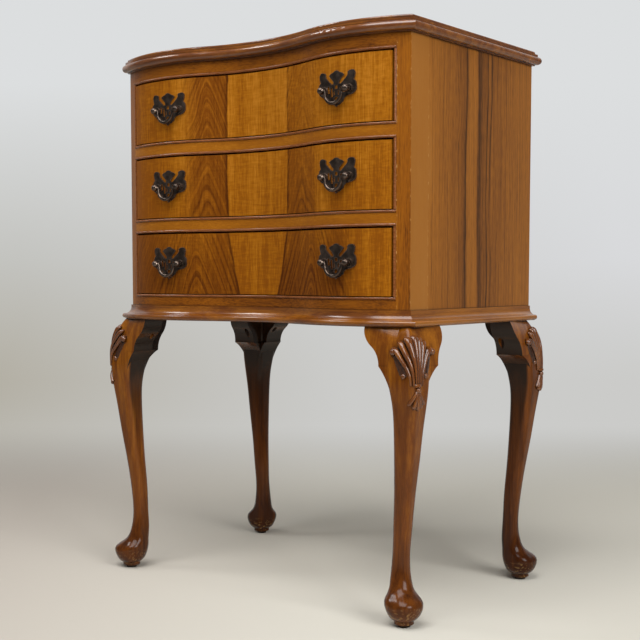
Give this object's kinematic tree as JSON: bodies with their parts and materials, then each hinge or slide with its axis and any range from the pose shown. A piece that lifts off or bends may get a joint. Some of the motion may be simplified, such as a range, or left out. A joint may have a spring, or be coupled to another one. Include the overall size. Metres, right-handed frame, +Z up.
{
  "type": "chest of drawers",
  "caption": "Small walnut chest of drawers on tall cabriole legs, with a serpentine front, moulded top, cock-beaded drawers that slide out and batwing handles with swinging bails.",
  "frame": {"origin": "on the floor, in the middle of the object's box", "axes": "+Z up, the front faces -Y, +X to the right of someone facing the front"},
  "size_m": [0.534, 0.3435, 0.741],
  "materials": {
    "walnut_veneer": "satin varnish",
    "walnut_solid": "satin varnish",
    "pale_hardwood": "bare",
    "plywood": "bare",
    "aged_brass": "darkened with age",
    "plain_brass": "dull",
    "screw_steel": "dull",
    "glide_steel": "dark"
  },
  "bodies": {
    "carcass": {"top_board": "walnut_veneer", "left_side_panel": "walnut_veneer", "right_side_panel": "walnut_veneer", "left_front_stile": "walnut_veneer", "right_front_stile": "walnut_veneer", "top_front_rail": "walnut_veneer", "upper_divider_rail": "walnut_veneer", "lower_divider_rail": "walnut_veneer", "bottom_front_rail": "walnut_veneer", "lower_opening_beads": "walnut_solid", "middle_opening_beads": "walnut_solid", "upper_opening_beads": "walnut_solid", "base_front_moulding": "walnut_solid", "base_left_moulding": "walnut_solid", "base_right_moulding": "walnut_solid", "front_left_leg": "walnut_solid", "front_right_leg": "walnut_solid", "back_left_leg": "walnut_solid", "back_right_leg": "walnut_solid", "knee_blocks": "walnut_solid", "bottom_board": "pale_hardwood", "back_top_rail": "pale_hardwood", "drawer_runners": "pale_hardwood", "drawer_stops": "pale_hardwood", "back_panel": "plywood", "knee_block_screws": "screw_steel", "leg_screws": "screw_steel", "top_screws": "screw_steel", "back_panel_screws": "screw_steel", "foot_glides": "glide_steel"},
    "lower_drawer": {"lower_drawer_front": "walnut_veneer", "lower_drawer_left_side": "pale_hardwood", "lower_drawer_right_side": "pale_hardwood", "lower_drawer_back": "pale_hardwood", "lower_drawer_bottom": "plywood", "lower_handle_plates": "aged_brass", "lower_handle_posts": "aged_brass", "lower_handle_nuts": "plain_brass"},
    "middle_drawer": {"middle_drawer_front": "walnut_veneer", "middle_drawer_left_side": "pale_hardwood", "middle_drawer_right_side": "pale_hardwood", "middle_drawer_back": "pale_hardwood", "middle_drawer_bottom": "plywood", "middle_handle_plates": "aged_brass", "middle_handle_posts": "aged_brass", "middle_handle_nuts": "plain_brass"},
    "upper_drawer": {"upper_drawer_front": "walnut_veneer", "upper_drawer_left_side": "pale_hardwood", "upper_drawer_right_side": "pale_hardwood", "upper_drawer_back": "pale_hardwood", "upper_drawer_bottom": "plywood", "upper_handle_plates": "aged_brass", "upper_handle_posts": "aged_brass", "upper_handle_nuts": "plain_brass"},
    "lower_left_bail_swing": {"lower_left_bail": "aged_brass"},
    "lower_right_bail_swing": {"lower_right_bail": "aged_brass"},
    "middle_left_bail_swing": {"middle_left_bail": "aged_brass"},
    "middle_right_bail_swing": {"middle_right_bail": "aged_brass"},
    "upper_left_bail_swing": {"upper_left_bail": "aged_brass"},
    "upper_right_bail_swing": {"upper_right_bail": "aged_brass"}
  },
  "joints": [
    {"name": "lower_drawer_slide", "type": "slide", "parent": "carcass", "child": "lower_drawer", "axis": [0, -1, 0], "range_m": [0, 0.2]},
    {"name": "lower_left_bail_hinge", "type": "hinge", "parent": "lower_drawer", "child": "lower_left_bail_swing", "pos_m": [-0.14659, -0.16629, 0.4465], "axis": [-0.9986, -0.0537, 0], "range_deg": [0, 100]},
    {"name": "lower_right_bail_hinge", "type": "hinge", "parent": "lower_drawer", "child": "lower_right_bail_swing", "pos_m": [0.14659, -0.16629, 0.4465], "axis": [-0.9986, 0.0537, 0], "range_deg": [0, 100]},
    {"name": "middle_drawer_slide", "type": "slide", "parent": "carcass", "child": "middle_drawer", "axis": [0, -1, 0], "range_m": [0, 0.2]},
    {"name": "middle_left_bail_hinge", "type": "hinge", "parent": "middle_drawer", "child": "middle_left_bail_swing", "pos_m": [-0.14659, -0.16629, 0.5525], "axis": [-0.9986, -0.0537, 0], "range_deg": [0, 100]},
    {"name": "middle_right_bail_hinge", "type": "hinge", "parent": "middle_drawer", "child": "middle_right_bail_swing", "pos_m": [0.14659, -0.16629, 0.5525], "axis": [-0.9986, 0.0537, 0], "range_deg": [0, 100]},
    {"name": "upper_drawer_slide", "type": "slide", "parent": "carcass", "child": "upper_drawer", "axis": [0, -1, 0], "range_m": [0, 0.2]},
    {"name": "upper_left_bail_hinge", "type": "hinge", "parent": "upper_drawer", "child": "upper_left_bail_swing", "pos_m": [-0.14659, -0.16629, 0.6585], "axis": [-0.9986, -0.0537, 0], "range_deg": [0, 100]},
    {"name": "upper_right_bail_hinge", "type": "hinge", "parent": "upper_drawer", "child": "upper_right_bail_swing", "pos_m": [0.14659, -0.16629, 0.6585], "axis": [-0.9986, 0.0537, 0], "range_deg": [0, 100]}
  ]
}
